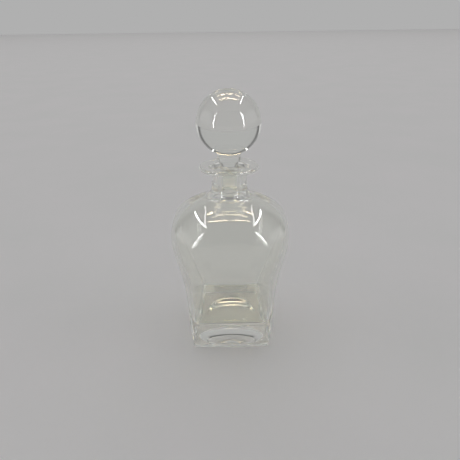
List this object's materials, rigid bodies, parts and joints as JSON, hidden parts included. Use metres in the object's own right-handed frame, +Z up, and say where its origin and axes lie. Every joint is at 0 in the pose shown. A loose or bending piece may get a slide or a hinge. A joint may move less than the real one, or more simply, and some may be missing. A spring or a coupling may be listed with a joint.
{
  "type": "glass decanter",
  "caption": "Clear glass spirit decanter with a square foot, round shoulders, a flat flanged lip and a solid ball stopper whose ground plug lifts straight out of the neck.",
  "frame": {"origin": "centre of the square foot, on the surface the decanter stands on", "axes": "+Z up through the neck and the ball; the flat sides of the foot face +X, -X, +Y and -Y"},
  "size_m": [0.108, 0.108, 0.24],
  "materials": {
    "bottle_glass": "clear fire-polished crystal, faint grey-green in the thick foot",
    "stopper_glass": "clear polished crystal ball and stem, finely ground plug"
  },
  "bodies": {
    "decanter_body": {"bottle": "bottle_glass"},
    "stopper_body": {"stopper": "stopper_glass"}
  },
  "joints": [
    {"name": "stopper_lift", "type": "slide", "parent": "decanter_body", "child": "stopper_body", "axis": [0, 0, 1], "range_m": [0, 0.045]}
  ]
}
